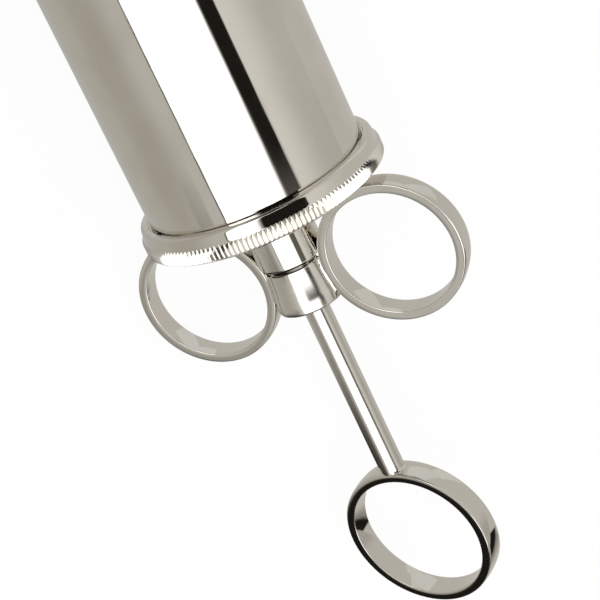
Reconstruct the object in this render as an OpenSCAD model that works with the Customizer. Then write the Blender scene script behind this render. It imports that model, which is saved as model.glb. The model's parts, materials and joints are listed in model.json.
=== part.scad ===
// Three-ring metal irrigating syringe, lying on a table as it comes to rest.
// Millimetres. The syringe's axis is along X with the nozzle at +X. The two screw
// caps' knurled beads and the edge of the left finger ring touch the table at z = 0.
// Distances along the axis are counted from the rim of the rear cap.

/* [Barrel] */
// Outside diameter of the barrel tube
barrel_d = 40; // [34:0.5:50]
// Wall of the barrel tube
barrel_wall = 1; // [0.8:0.1:1.6]
// Length of the barrel tube
barrel_len = 130; // [100:1:180]

/* [Screw caps] */
// Metal of a cap outside its thread
cap_wall = 2.1; // [1.4:0.05:3]
// Length of the smooth band beside the rim
band_len = 2.1; // [1.6:0.05:4]
// Fall of the smooth band's radius from the knurled bead to the rim
band_taper = 0.25; // [0:0.05:0.4]
// Length of the knurled bead behind the smooth band
bead_len = 2.6; // [2.2:0.05:3.2]
// Height of the knurled bead above the smooth band
bead_rise = 0.45; // [0.3:0.05:0.9]
// Width of the flat rim that faces the barrel
rim_flat = 0.7; // [0.4:0.05:0.8]
// Metal of a cap's end behind its thread, at the edge
cap_floor = 0.7; // [0.5:0.05:1.2]
// Thickness of the sealing washer in each cap
washer_t = 0.8; // [0.5:0.1:1.2]
// Width of a sealing washer's face
washer_w = 2.6; // [1.8:0.1:4]
// Number of knurl teeth round a cap
knurl_teeth = 160; // [90:1:200]
// Depth of the knurl between the teeth
knurl_cut = 0.44; // [0.2:0.01:0.6]

/* [Rear cap] */
// Rise of the rear cap's back from its edge to the neck
rear_dome_rise = 1.7; // [0.8:0.1:3]
// Diameter of the neck
neck_d = 12.5; // [11:0.1:15]
// Distance from the rim to the step that ends the neck
neck_end = 16.2; // [14:0.1:18]
// Depth of the cove behind the neck
cove_depth = 0.55; // [0.2:0.05:1]
// Distance from the rim to the steepest place of the flare behind the cove
flare_turn = 23; // [20:0.1:23.5]
// Distance from the rim to the end of that flare
flare_end = 24.6; // [24:0.1:25]
// Diameter of the boss at its end
boss_d = 12.7; // [11:0.1:15]
// Distance from the rim to the end of the boss
boss_end = 25.8; // [23:0.1:30]

/* [Finger rings] */
// Diameter of a finger ring's bore
finger_bore_d = 23.2; // [19:0.1:27]
// Thickness of a finger ring's band
finger_wall = 1.8; // [1:0.05:2.4]
// Width of a finger ring's band
finger_w = 4.4; // [3:0.1:5.4]
// Depth that a finger ring is let into the side of the boss
finger_bite = 1; // [0.5:0.05:1.2]
// Distance from the rim to the finger rings' centres
finger_back = 19.9; // [18.5:0.1:21]

/* [Thumb ring] */
// Diameter of the thumb ring's bore
thumb_bore_d = 26.3; // [20:0.1:32]
// Thickness of the thumb ring's band
thumb_wall = 1.85; // [1:0.05:2.4]
// Width of the thumb ring's band
thumb_w = 4.8; // [3:0.1:6]
// Roll of the thumb ring from the finger rings' plane, in degrees
thumb_roll = 10.8; // [0:0.1:25]

/* [Plunger] */
// Diameter of the plunger rod
rod_d = 4.8; // [4:0.1:6.5]
// Bare rod between the boss and the thumb ring as the syringe lies
rod_out = 37.2; // [20:0.1:60]
// Bare rod that is left when the plunger is pushed home
rod_left = 6; // [3:0.5:12]
// Diameter of the rod's threaded end
stud_d = 3.8; // [3:0.1:3.9]

/* [Piston] */
// Thickness of the cup leathers
leather_t = 1.5; // [1:0.1:2.2]
// Length of a cup leather's lip beyond its base
lip_len = 5; // [4:0.1:8]
// Thickness of the two clamping plates
plate_t = 1.6; // [1:0.1:2]
// Thickness of the spacer between the cup leathers
spacer_t = 3; // [2:0.1:5]
// Thickness of the nut
nut_t = 2.6; // [2:0.1:3.4]
// Width of the nut across its flats
nut_af = 7; // [6:0.1:9]
// Gap that is left at either end of the stroke
stroke_gap = 1; // [0.5:0.1:2]

/* [Nozzle end] */
// Rise of the front cap's dome from its edge to its boss
front_dome_rise = 8; // [5:0.1:12]
// Diameter of the front cap's boss
front_boss_d = 15; // [13:0.1:18]
// Length of the front cap's boss beyond the dome
front_boss_len = 4; // [2:0.1:8]
// Diameter of the spigot that the nozzle screws on
spigot_d = 8; // [7:0.1:9.5]
// Length of the spigot beyond the front cap
spigot_len = 7; // [5:0.1:10]
// Thickness of the washer under the nozzle
nozzle_washer_t = 0.6; // [0.4:0.1:1.2]
// Diameter of the nozzle's hub
hub_d = 13; // [11.5:0.1:16]
// Length of the knurled part of the hub
hub_len = 9; // [8:0.1:14]
// Length of the tapered part of the hub
hub_taper = 6; // [3:0.1:10]
// Number of knurl teeth round the hub
hub_teeth = 44; // [24:1:60]
// Outside diameter of the nozzle tube
nozzle_d = 4.4; // [3.6:0.1:5.6]
// Bore of the nozzle
nozzle_bore_d = 2.6; // [1.6:0.1:3]
// Length of the nozzle tube beyond the hub
nozzle_len = 44; // [25:1:90]
// Diameter of the olive bead at the tip
olive_d = 7; // [6:0.1:9]
// Length of the olive bead, as if it came to a point at both ends
olive_len = 7.6; // [5:0.1:12]

/* [Hidden] */

$fn = 96;
eps = 0.01;

// Clearances: threads are drawn as plain running fits.
thread_gap = 0.05;
rod_gap = 0.05;
leather_gap = 0.06;
mouth_gap = 0.4;
mouth_len = 0.6;

// Colours
nickel = [0.80, 0.79, 0.76];
brass = [0.78, 0.64, 0.34];
leather = [0.44, 0.29, 0.17];

// Barrel and caps
barrel_r = barrel_d / 2;
bore_r = barrel_r - barrel_wall;
thread_r = barrel_r + thread_gap;
band_r = thread_r + cap_wall;
bead_r = band_r + bead_rise;
rim_r = thread_r + mouth_gap - thread_gap;
rim_round = band_r - band_taper - rim_r - rim_flat;
cap_len = band_len + bead_len;
cap_depth = cap_len - cap_floor;
barrel_rear = -(cap_depth - washer_t);
barrel_front = barrel_rear + barrel_len;
front_rim = barrel_front - (cap_depth - washer_t);
edge_step = 0.3;
edge_r = band_r - edge_step;
bead_climb = 1.6;
bead_round = 0.25;
bead_arc_r = (bead_climb * bead_climb + bead_rise * bead_rise) / (2 * bead_rise);
bead_arc_turn = asin(bead_climb / bead_arc_r);
knurl_root_r = bead_r - knurl_cut;
knurl_land = 0.03;
knurl_margin = 1.5;
washer_gap = 0.1;
washer_out_r = thread_r - washer_gap;
washer_in_r = bore_r - washer_w + barrel_wall;

// Rear cap
neck_r = neck_d / 2;
boss_r = boss_d / 2;
neck_fillet = 2;
cove_fall = 1.5;
cove_r = neck_r - cove_depth;
boss_round = 0.5;
rod_r = rod_d / 2;
rod_bore_r = rod_r + rod_gap;
rear_floor = cap_len + edge_step + rear_dome_rise;

// Rings
ring_dome = 0.2;
finger_ir = finger_bore_d / 2;
finger_or = finger_ir + finger_wall;
finger_x = -finger_back;
finger_y = boss_r + finger_or - finger_bite;
thumb_ir = thumb_bore_d / 2;
thumb_or = thumb_ir + thumb_wall;
thumb_x = -boss_end - rod_out - thumb_or;
braze_reach = 0.7;

// Roll that lets the edge of the left finger ring down to the table
ring_edge_y = finger_y + finger_or - ring_dome;
ring_edge_reach = norm([ring_edge_y, finger_w / 2]);
ring_edge_angle = atan2(finger_w / 2, ring_edge_y);
ring_roll = asin(bead_r / ring_edge_reach) - ring_edge_angle;

// Piston, placed by how far it still has to go before it is home
pack_len = 2 * lip_len + 2 * leather_t + spacer_t;
push_left = rod_out - rod_left;
pack_front = barrel_front - stroke_gap - push_left;
pack_rear = pack_front - pack_len;
cup_r = bore_r - leather_gap;
cup_hole_r = stud_d / 2 + rod_gap;
plate_step = 1;
plate_r = cup_r - leather_t - plate_step;
front_cup_base = pack_front - lip_len - leather_t;
spacer_x = front_cup_base - spacer_t;
rear_cup_base = spacer_x - leather_t;
spacer_step = 1.5;
spacer_r = cup_r - spacer_step;
stud_r = stud_d / 2;
shoulder_x = rear_cup_base - plate_t;
nut_x = front_cup_base + leather_t + plate_t;
stud_over = 0.4;
stud_end = nut_x + nut_t + stud_over;

// Nozzle end, counted outwards from the front cap's rim
front_boss_r = front_boss_d / 2;
front_floor = cap_len + edge_step + front_dome_rise;
front_face = front_floor + front_boss_len;
spigot_r = spigot_d / 2;
spigot_bore_r = 1.75;
spigot_seat = 0.75;
spigot_root = cap_depth + front_dome_rise * spigot_seat;
funnel_step = 0.5;
funnel_r = washer_in_r - funnel_step;
funnel_end = 1;
hub_r = hub_d / 2;
hub_edge = 0.4;
hub_cut = 0.45;
hub_plain = 1;
hub_step = 1.2;
hub_lip = 0.6;
nozzle_washer_step = 0.8;
hub_x = front_rim + front_face + nozzle_washer_t;
hub_bore_over = 0.6;
hub_bore_depth = spigot_len + hub_bore_over - nozzle_washer_t;
nozzle_r = nozzle_d / 2;
nozzle_bore_r = nozzle_bore_d / 2;
tube_start = hub_x + hub_bore_depth;
tube_end = hub_x + hub_len + hub_taper + nozzle_len;
olive_r = olive_d / 2;
olive_half = olive_len / 2;
olive_lip = 0.4;
olive_mouth_angle = acos((nozzle_bore_r + olive_lip) / olive_r);
olive_seat_angle = acos(nozzle_r / olive_r);
tip_end = tube_end + olive_half * sin(olive_mouth_angle);

// The part's own frame: the middle of its length, at table height
x_low = thumb_x - thumb_or;
x_mid = (x_low + tip_end) / 2;

// Points of an arc round [r, x] from angle a0 to a1 in n steps
function arc(r, x, radius, a0, a1, n) =
    [for (i = [0 : n]) let (a = a0 + (a1 - a0) * i / n) [r + radius * cos(a), x + radius * sin(a)]];

// Points of a half wave from radius r0 at x0 to radius r1 at x1 in n steps
function wave(r0, x0, r1, x1, n) =
    [for (i = [0 : n]) [r0 + (r1 - r0) * (1 - cos(180 * i / n)) / 2, x0 + (x1 - x0) * i / n]];

// Points of a flare from [r0, x0] that steepens up to turn and levels out from there to [r1, x1]
function flare(r0, x0, turn, r1, x1, n) =
    [for (i = [0 : n])
        let (x = x0 + (x1 - x0) * i / n,
             rise = x <= turn ? pow(x - x0, 2) / (turn - x0) : x1 - x0 - pow(x1 - x, 2) / (x1 - turn))
        [r0 + (r1 - r0) * rise / (x1 - x0), x]];

// Points of a quarter ellipse dome from [r0, x0] at its edge to [r1, x1] at its top
function dome(r0, x0, r1, x1, n) =
    [for (i = [0 : n]) [r1 + (r0 - r1) * cos(90 * i / n), x0 + (x1 - x0) * sin(90 * i / n)]];

// Turned shape about the syringe's axis from [radius, x] points
module turned(points) {
    rotate([0, 90, 0])
        rotate_extrude()
            polygon(points);
}

// Plain tube or disc about the syringe's axis from x0 to x1
module ringed(outer_r, inner_r, x0, x1) {
    turned([[inner_r, x0], [outer_r, x0], [outer_r, x1], [inner_r, x1]]);
}

// Carries a shape from the syringe's axis to the part's frame
module placed(roll = 0) {
    translate([-x_mid, 0, bead_r])
        rotate([-roll, 0, 0])
            children();
}

// Turns a shape that is drawn outwards from a cap's rim to face the rear
module facing_rear() {
    rotate([0, 180, 0])
        children();
}

// Everything outside a ring of straight knurl teeth, one of them at the table, between x0 and x1
module knurl_cutter(teeth, root_r, crest_r, x0, x1) {
    pitch = 360 / teeth;
    translate([x0, 0, 0])
        rotate([0, 90, 0])
            linear_extrude(height = x1 - x0)
                difference() {
                    circle(r = crest_r + knurl_margin);
                    polygon([for (i = [0 : 2 * teeth - 1])
                        let (radius = i % 2 == 0 ? crest_r : root_r)
                        radius * [cos(i * pitch / 2), sin(i * pitch / 2)]]);
                }
}

// Outside of a cap from its mouth over the rim, the tapered band and the knurled bead
function collar_points() = concat(
    [[rim_r, 0]],
    arc(rim_r + rim_flat, rim_round, rim_round, -90, 0, 5),
    arc(bead_r - bead_arc_r, band_len + bead_climb, bead_arc_r, -bead_arc_turn, 0, 5),
    arc(bead_r - bead_round, cap_len - bead_round, bead_round, 0, 90, 2),
    [[edge_r, cap_len + edge_step]]);

// Inside of a cap from its threaded bore back to its mouth
function mouth_points() = [[thread_r, cap_depth], [thread_r, mouth_len], [rim_r, mouth_len]];

// Knurl of a cap's bead
module cap_knurl() {
    knurl_cutter(knurl_teeth, knurl_root_r, bead_r + knurl_land, band_len, cap_len + edge_step);
}

// Outside of the rear cap's back, neck, cove and boss
function neck_points() = concat(
    arc(neck_r + neck_fillet, rear_floor + neck_fillet, neck_fillet, -90, -180, 6),
    wave(neck_r, neck_end, cove_r, neck_end + cove_fall, 6),
    flare(cove_r, neck_end + cove_fall, flare_turn, boss_r, flare_end, 12),
    arc(boss_r - boss_round, boss_end - boss_round, boss_round, 0, 90, 5));

module barrel() {
    color(nickel)
        placed()
            ringed(barrel_r, bore_r, barrel_rear, barrel_front);
}

module rear_cap() {
    color(nickel)
        placed()
            facing_rear()
                difference() {
                    turned(concat(
                        collar_points(),
                        neck_points(),
                        [[rod_bore_r + boss_round, boss_end], [rod_bore_r, boss_end - boss_round],
                         [rod_bore_r, cap_depth]],
                        mouth_points()));
                    cap_knurl();
                }
}

module rear_washer() {
    color(leather)
        placed()
            ringed(washer_out_r, washer_in_r, -cap_depth, barrel_rear);
}

// Solid of the neck and boss, which the finger rings are filed to fit
module boss_blank(grow = 0) {
    facing_rear()
        turned(concat(
            [[0, rear_floor]],
            [for (p = neck_points()) [p[0] + grow, p[1]]],
            [[0, boss_end]]));
}

// Band of a ring with a slightly domed outside
module ring_band(outer_r, width, grow = 0) {
    half = width / 2;
    dome_arc_r = (half * half + ring_dome * ring_dome) / (2 * ring_dome);
    dome_half = asin(half / dome_arc_r);
    rotate_extrude()
        polygon(concat(
            [[0, -half]],
            arc(outer_r + grow - dome_arc_r, 0, dome_arc_r, -dome_half, dome_half, 6),
            [[0, half]]));
}

// One finger ring, to the left of the axis at side 1 and to the right at side -1
module finger_ring(side) {
    module at_ring() {
        translate([finger_x, side * finger_y, 0])
            children();
    }
    color(nickel)
        placed(ring_roll)
            difference() {
                union() {
                    at_ring()
                        ring_band(finger_or, finger_w);
                    intersection() {
                        at_ring()
                            ring_band(finger_or + braze_reach, finger_w + braze_reach);
                        boss_blank(braze_reach);
                    }
                }
                boss_blank();
                at_ring()
                    cylinder(r = finger_ir, h = 2 * finger_w, center = true);
            }
}

module left_finger_ring() {
    finger_ring(1);
}

module right_finger_ring() {
    finger_ring(-1);
}

module plunger_rod() {
    color(nickel)
        placed(ring_roll + thumb_roll)
            difference() {
                union() {
                    ringed(rod_r, 0, thumb_x + thumb_ir, shoulder_x);
                    ringed(stud_r, 0, shoulder_x - eps, stud_end);
                }
                translate([thumb_x, 0, 0])
                    ring_band(thumb_or, thumb_w);
            }
}

module thumb_ring() {
    fillet_end = thumb_x + thumb_or + braze_reach;
    color(nickel)
        placed(ring_roll + thumb_roll)
            difference() {
                union() {
                    translate([thumb_x, 0, 0])
                        ring_band(thumb_or, thumb_w);
                    difference() {
                        turned([[0, thumb_x + thumb_ir], [rod_r + braze_reach, thumb_x + thumb_ir],
                                [rod_r + braze_reach, fillet_end - braze_reach],
                                [rod_r + eps, fillet_end], [0, fillet_end]]);
                        difference() {
                            ringed(rod_r, 0, thumb_x, fillet_end + 1);
                            translate([thumb_x, 0, 0])
                                ring_band(thumb_or, thumb_w);
                        }
                    }
                }
                translate([thumb_x, 0, 0])
                    cylinder(r = thumb_ir, h = 2 * thumb_w, center = true);
            }
}

module piston_rear_plate() {
    color(brass)
        placed()
            ringed(plate_r, stud_r, shoulder_x, rear_cup_base);
}

// Cup of leather with its base at 0 and its lip towards +X
module cup_leather() {
    turned([[cup_hole_r, 0], [cup_r - leather_t, 0], [cup_r, leather_t], [cup_r, leather_t + lip_len],
            [cup_r - leather_t / 2, leather_t + lip_len], [cup_r - leather_t, leather_t + lip_len - 1],
            [cup_r - leather_t, leather_t], [cup_hole_r, leather_t]]);
}

module rear_cup_leather() {
    color(leather)
        placed()
            translate([spacer_x, 0, 0])
                facing_rear()
                    cup_leather();
}

module piston_spacer() {
    color(brass)
        placed()
            ringed(spacer_r, stud_r, spacer_x, front_cup_base);
}

module front_cup_leather() {
    color(leather)
        placed()
            translate([front_cup_base, 0, 0])
                cup_leather();
}

module piston_front_plate() {
    color(brass)
        placed()
            ringed(plate_r, stud_r, nut_x - plate_t, nut_x);
}

module piston_nut() {
    color(brass)
        placed(ring_roll + thumb_roll)
            translate([nut_x, 0, 0])
                rotate([0, 90, 0])
                    difference() {
                        cylinder(r = nut_af / 2 / cos(30), h = nut_t, $fn = 6);
                        translate([0, 0, -nut_t / 2])
                            cylinder(r = stud_r, h = 2 * nut_t);
                    }
}

module front_cap() {
    color(nickel)
        placed()
            translate([front_rim, 0, 0])
                difference() {
                    turned(concat(
                        collar_points(),
                        dome(edge_r - edge_step, cap_len + edge_step, front_boss_r, front_floor, 12),
                        [[front_boss_r, front_face], [spigot_r, front_face],
                         [spigot_r, spigot_root], [spigot_bore_r, spigot_root],
                         [spigot_bore_r, spigot_root - funnel_end], [funnel_r, cap_depth]],
                        mouth_points()));
                    cap_knurl();
                }
}

module front_washer() {
    color(leather)
        placed()
            ringed(washer_out_r, washer_in_r, barrel_front, barrel_front + washer_t);
}

module nozzle_spigot() {
    color(nickel)
        placed()
            ringed(spigot_r, spigot_bore_r, front_rim + spigot_root, front_rim + front_face + spigot_len);
}

module nozzle_washer() {
    color(leather)
        placed()
            ringed(hub_r - nozzle_washer_step, spigot_r + rod_gap, front_rim + front_face, hub_x);
}

module nozzle_hub() {
    color(nickel)
        placed()
            translate([hub_x, 0, 0])
                difference() {
                    turned(concat(
                        [[spigot_r + thread_gap, 0], [hub_r - hub_edge, 0], [hub_r, hub_edge],
                         [hub_r, hub_len - hub_edge], [hub_r - hub_edge, hub_len]],
                        wave(hub_r - hub_step, hub_len, nozzle_r + hub_lip, hub_len + hub_taper, 8),
                        [[nozzle_r, hub_len + hub_taper], [nozzle_r, hub_bore_depth],
                         [spigot_r + thread_gap, hub_bore_depth]]));
                    knurl_cutter(hub_teeth, hub_r - hub_cut, hub_r + hub_cut, hub_plain, hub_len - hub_plain);
                }
}

module nozzle_tube() {
    color(nickel)
        placed()
            ringed(nozzle_r, nozzle_bore_r, tube_start, tube_end);
}

module nozzle_bead() {
    color(nickel)
        placed()
            translate([tube_end, 0, 0])
                turned(concat(
                    [[nozzle_r, 0]],
                    [for (i = [0 : 16])
                        let (a = -olive_seat_angle + (olive_mouth_angle + olive_seat_angle) * i / 16)
                        [olive_r * cos(a), olive_half * sin(a)]],
                    [[nozzle_bore_r, tip_end - tube_end], [nozzle_bore_r, 0]]));
}

barrel();
rear_cap();
rear_washer();
left_finger_ring();
right_finger_ring();
plunger_rod();
thumb_ring();
piston_rear_plate();
rear_cup_leather();
piston_spacer();
front_cup_leather();
piston_front_plate();
piston_nut();
front_cap();
front_washer();
nozzle_spigot();
nozzle_washer();
nozzle_hub();
nozzle_tube();
nozzle_bead();
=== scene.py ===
"""Looks of a three-ring metal irrigating syringe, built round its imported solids.

The syringe lies on a table along X with its nozzle at +X. Sizes are in metres.
"""

import json
import logging
import math
from dataclasses import dataclass
from enum import Enum
from functools import cached_property, partial
from typing import Callable, ClassVar, Optional, Sequence, Union

import bmesh
import bpy
from mathutils import Matrix, Vector


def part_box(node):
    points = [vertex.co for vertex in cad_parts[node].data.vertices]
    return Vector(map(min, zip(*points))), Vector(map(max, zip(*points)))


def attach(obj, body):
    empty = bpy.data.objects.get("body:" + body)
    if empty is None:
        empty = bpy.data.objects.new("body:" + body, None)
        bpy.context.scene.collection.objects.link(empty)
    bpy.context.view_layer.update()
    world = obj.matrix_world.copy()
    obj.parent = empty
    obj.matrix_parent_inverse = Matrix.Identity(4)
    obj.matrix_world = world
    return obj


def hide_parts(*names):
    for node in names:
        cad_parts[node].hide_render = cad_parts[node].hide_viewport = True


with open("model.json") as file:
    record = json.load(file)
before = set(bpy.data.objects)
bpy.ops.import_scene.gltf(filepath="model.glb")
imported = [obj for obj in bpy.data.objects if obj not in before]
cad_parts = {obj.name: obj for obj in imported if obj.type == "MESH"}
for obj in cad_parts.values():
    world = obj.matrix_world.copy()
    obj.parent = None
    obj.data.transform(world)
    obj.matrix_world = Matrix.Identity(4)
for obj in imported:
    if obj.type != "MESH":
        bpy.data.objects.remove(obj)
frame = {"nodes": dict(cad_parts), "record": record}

LOG = logging.getLogger("syringe")
MM = 0.001
SMOOTH_ANGLE = math.radians(32)
MERGE_GAP = 1e-7
SAME_PLACE = 1e-9
FEWEST_STEPS = 16
AXIS_HEIGHT = sum(p.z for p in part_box("barrel")) / 2
REAR_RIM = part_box("rear_cap")[1].x
FRONT_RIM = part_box("front_cap")[0].x
ALONG = Vector((1.0, 0.0, 0.0))
UP = Vector((0.0, 0.0, 1.0))
WHITE = (1.0, 1.0, 1.0)
Point = tuple[float, float]
Place = tuple[float, float, float]
Colour = tuple[float, float, float]
Cut = Callable[[float, float, float], Point]


class Part(Enum):
    """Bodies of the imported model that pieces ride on."""

    BARREL = "barrel"
    REAR_CAP = "rear_cap"
    REAR_WASHER = "rear_washer"
    FRONT_CAP = "front_cap"
    FRONT_WASHER = "front_washer"
    NOZZLE = "nozzle"
    NOZZLE_WASHER = "nozzle_washer"
    LEATHERS = "cup_leathers"
    PLUNGER = "plunger"


class Slot(Enum):
    """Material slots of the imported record."""

    NICKEL = "nickel"
    BRASS = "brass"
    LEATHER = "leather"


class Coat(Enum):
    """Finishes by the name of their material."""

    DRAWN = "drawn_nickel"
    TURNED = "turned_nickel"
    RING = "ring_nickel"
    ROD = "rod_nickel"
    SOLDER = "plated_solder"
    BRASS = "turned_brass"
    LEATHER = "oiled_leather"


class Socket:
    """A shader socket with arithmetic, so that shader maths reads as an expression."""

    def __init__(self, graph: "Graph", socket: Optional[bpy.types.NodeSocket]) -> None:
        """Wraps an output socket of a graph."""
        self.graph = graph
        self.socket = socket

    def _math(self, operation: str, first: object, second: object = 0.0) -> "Socket":
        """Adds a Math node."""
        return self.graph.node("ShaderNodeMath", {"operation": operation}, {0: first, 1: second})

    def __add__(self, other: object) -> "Socket":
        """Sum."""
        return self._math("ADD", self, other)

    def __radd__(self, other: object) -> "Socket":
        """Sum with a number on the left."""
        return self._math("ADD", other, self)

    def __sub__(self, other: object) -> "Socket":
        """Difference."""
        return self._math("SUBTRACT", self, other)

    def __rsub__(self, other: object) -> "Socket":
        """Difference from a number."""
        return self._math("SUBTRACT", other, self)

    def __mul__(self, other: object) -> "Socket":
        """Product."""
        return self._math("MULTIPLY", self, other)

    def __rmul__(self, other: object) -> "Socket":
        """Product with a number on the left."""
        return self._math("MULTIPLY", other, self)

    def __pow__(self, other: object) -> "Socket":
        """Power."""
        return self._math("POWER", self, other)

    def __rpow__(self, other: object) -> "Socket":
        """Power of a number."""
        return self._math("POWER", other, self)

    def sine(self) -> "Socket":
        """Sine of the value in radians."""
        return self._math("SINE", self)

    def angle_from(self, other: "Socket") -> "Socket":
        """Angle of the point whose height is this value and whose width is the other."""
        return self._math("ARCTAN2", self, other)

    def step(self, edge: float, soft: float) -> "Socket":
        """Rises from 0 to 1 round an edge, over a width."""
        inputs = {"Value": self, "From Min": edge - soft / 2, "From Max": edge + soft / 2}
        return self.graph.node("ShaderNodeMapRange", {"interpolation_type": "SMOOTHSTEP"}, inputs)

    def between(self, low: float, high: float, soft: float, high_soft: Optional[float] = None) -> "Socket":
        """1 between two limits, which fade over the same width or each over its own."""
        return self.step(low, soft) * (1.0 - self.step(high, high_soft or soft))


Look = tuple[Socket, Socket, Socket]


@dataclass(frozen=True)
class Pattern:
    """How one pattern of a finish is laid.

    Size, detail and stretch are those of its grain, edge and soft say where it breaks into patches, and
    depth and strength are those of its relief.
    """

    size: float
    detail: float = 2.0
    stretch: Place = (1.0, 1.0, 1.0)
    edge: float = 0.5
    soft: float = 1.0
    depth: float = 0.0
    strength: float = 1.0

    @property
    def scale(self) -> tuple[float, ...]:
        """Scale of the coordinates that gives the stretch."""
        return tuple(1 / s for s in self.stretch)


class Graph:
    """A node tree that is built by short calls, with the coordinates that its patterns are laid in."""

    def __init__(self, tree: bpy.types.NodeTree, space: str = "Object") -> None:
        """Takes over and clears the tree of a material or of the world.

        Args:
            tree: The tree.
            space: Kind of its coordinates.
        """
        self.tree = tree
        tree.nodes.clear()
        self.place = self.node("ShaderNodeTexCoord", {}, {}, output=space)

    def node(
        self,
        kind: str,
        settings: dict[str, object],
        inputs: dict[Union[int, str], object],
        output: Union[int, str] = 0,
    ) -> Socket:
        """Adds a node, sets it up and links it.

        Args:
            kind: The node's type.
            settings: Its attributes, which are set first.
            inputs: Values or sockets by input name or number. A colour has three numbers.
            output: The output that is returned.

        Returns:
            The chosen output, empty where the node has none.
        """
        made = self.tree.nodes.new(kind)
        for name, value in settings.items():
            setattr(made, name, value)
        for name, value in inputs.items():
            end = made.inputs[name]
            if isinstance(value, Socket):
                self.tree.links.new(value.socket, end)
            else:
                end.default_value = (*value, 1.0) if end.type == "RGBA" else value
        return Socket(self, made.outputs[output] if len(made.outputs) else None)

    def mix(self, factor: object, first: object, second: object, label: str = "") -> Socket:
        """Mixes two colours by the share of the second."""
        inputs = {0: factor, 6: first, 7: second}
        return self.node("ShaderNodeMix", {"data_type": "RGBA", "label": label}, inputs, output=2)

    def axes(self) -> list[Socket]:
        """The three coordinates."""
        parts = self.node("ShaderNodeSeparateXYZ", {}, {0: self.place}).socket.node
        return [Socket(self, output) for output in parts.outputs]

    def ray(self, kind: str) -> Socket:
        """1 for rays of a kind, such as "Camera" or "Glossy"."""
        return self.node("ShaderNodeLightPath", {}, {}, output=f"Is {kind} Ray")

    def noise(self, pattern: Pattern) -> Socket:
        """Lays the grain of a pattern.

        Args:
            pattern: The pattern.

        Returns:
            A value round 0.5.
        """
        place = self.node("ShaderNodeMapping", {}, {"Vector": self.place, "Scale": pattern.scale})
        inputs = {"Vector": place, "Scale": 1 / pattern.size, "Detail": pattern.detail}
        return self.node("ShaderNodeTexNoise", {}, inputs)

    def patches(self, pattern: Pattern) -> Socket:
        """Noise that is broken into patches."""
        return self.noise(pattern).step(pattern.edge, pattern.soft)

    def cells(self, pattern: Pattern, feature: str = "F1") -> Socket:
        """Lays cells and measures a distance in them."""
        inputs = {"Vector": self.place, "Scale": 1 / pattern.size}
        return self.node("ShaderNodeTexVoronoi", {"feature": feature}, inputs)

    def bump(self, height: Socket, pattern: Pattern, under: Optional[Socket] = None) -> Socket:
        """Turns a height from 0 to 1 into a normal, laid over another one where that is given."""
        inputs = {"Height": height, "Distance": pattern.depth, "Strength": pattern.strength}
        return self.node("ShaderNodeBump", {}, inputs if under is None else {**inputs, "Normal": under})


def new_material(name: str) -> tuple[bpy.types.Material, Graph]:
    """Starts a material.

    Args:
        name: The material's name.

    Returns:
        The material and its graph.
    """
    made = bpy.data.materials.new(name)
    made.use_nodes = True
    return made, Graph(made.node_tree)


class Finish:
    """What every finish shares: its shader is bare metal unless it says otherwise."""

    metallic: ClassVar[float] = 1.0

    def look(self, graph: Graph) -> Look:
        """Lays the patterns in a material's graph and gives base colour, roughness and normal."""
        raise NotImplementedError

    def material(self, name: str) -> bpy.types.Material:
        """Builds the material.

        Args:
            name: Its name.

        Returns:
            The material.
        """
        made, graph = new_material(name)
        colour, rough, normal = self.look(graph)
        inputs = {"Base Color": colour, "Metallic": self.metallic, "Roughness": rough, "Normal": normal}
        shader = graph.node("ShaderNodeBsdfPrincipled", {}, inputs)
        graph.node("ShaderNodeOutputMaterial", {}, {"Surface": shader})
        return made


@dataclass(frozen=True)
class Dulled:
    """A stretch along the syringe that files or knurling wheels left duller than the rest."""

    start: float
    end: float
    soft: float
    roughness: float


def scratches(*stretch: float) -> Pattern:
    """Fine wiping scratches, stretched along each axis."""
    return Pattern(0.35 * MM, 2.0, stretch, depth=0.0012 * MM)


def ripples(size: float, depth: float) -> Pattern:
    """The slight wave that polishing leaves."""
    return Pattern(size, 1.0, (2.5, 1.0, 1.0), depth=depth)


@dataclass(frozen=True)
class PolishedPlate(Finish):
    """Mirror-polished nickel plate with faint haze, fine wiping scratches and a slight wave."""

    colour: Colour = (0.80, 0.775, 0.73)
    haze_colour: Colour = (0.74, 0.71, 0.655)
    haze_share: float = 0.6
    haze: Pattern = Pattern(9 * MM, 4.0, edge=0.56, soft=0.25)
    smear: Pattern = Pattern(3 * MM, 3.0, (3.0, 1.0, 1.0), 0.58, 0.2)
    scratch: Pattern = scratches(1.0, 14.0, 14.0)
    wave: Pattern = ripples(16 * MM, 0.02 * MM)
    roughness: float = 0.035
    haze_roughness: float = 0.025
    dulled: tuple[Dulled, ...] = ()

    def look(self, graph: Graph) -> Look:
        """Lays the haze, the smears and the scratches over the wave.

        Args:
            graph: The material's graph.

        Returns:
            Base colour, roughness and normal.
        """
        haze = graph.patches(self.haze)
        colour = graph.mix(haze * self.haze_share, self.colour, self.haze_colour)
        rough = self.roughness + (graph.patches(self.smear) + haze) * self.haze_roughness
        along = graph.axes()[0]
        for stretch in self.dulled:
            rough = rough + along.between(stretch.start, stretch.end, stretch.soft) * stretch.roughness
        waved = graph.bump(graph.noise(self.wave), self.wave)
        return colour, rough, graph.bump(graph.noise(self.scratch), self.scratch, waved)


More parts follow.
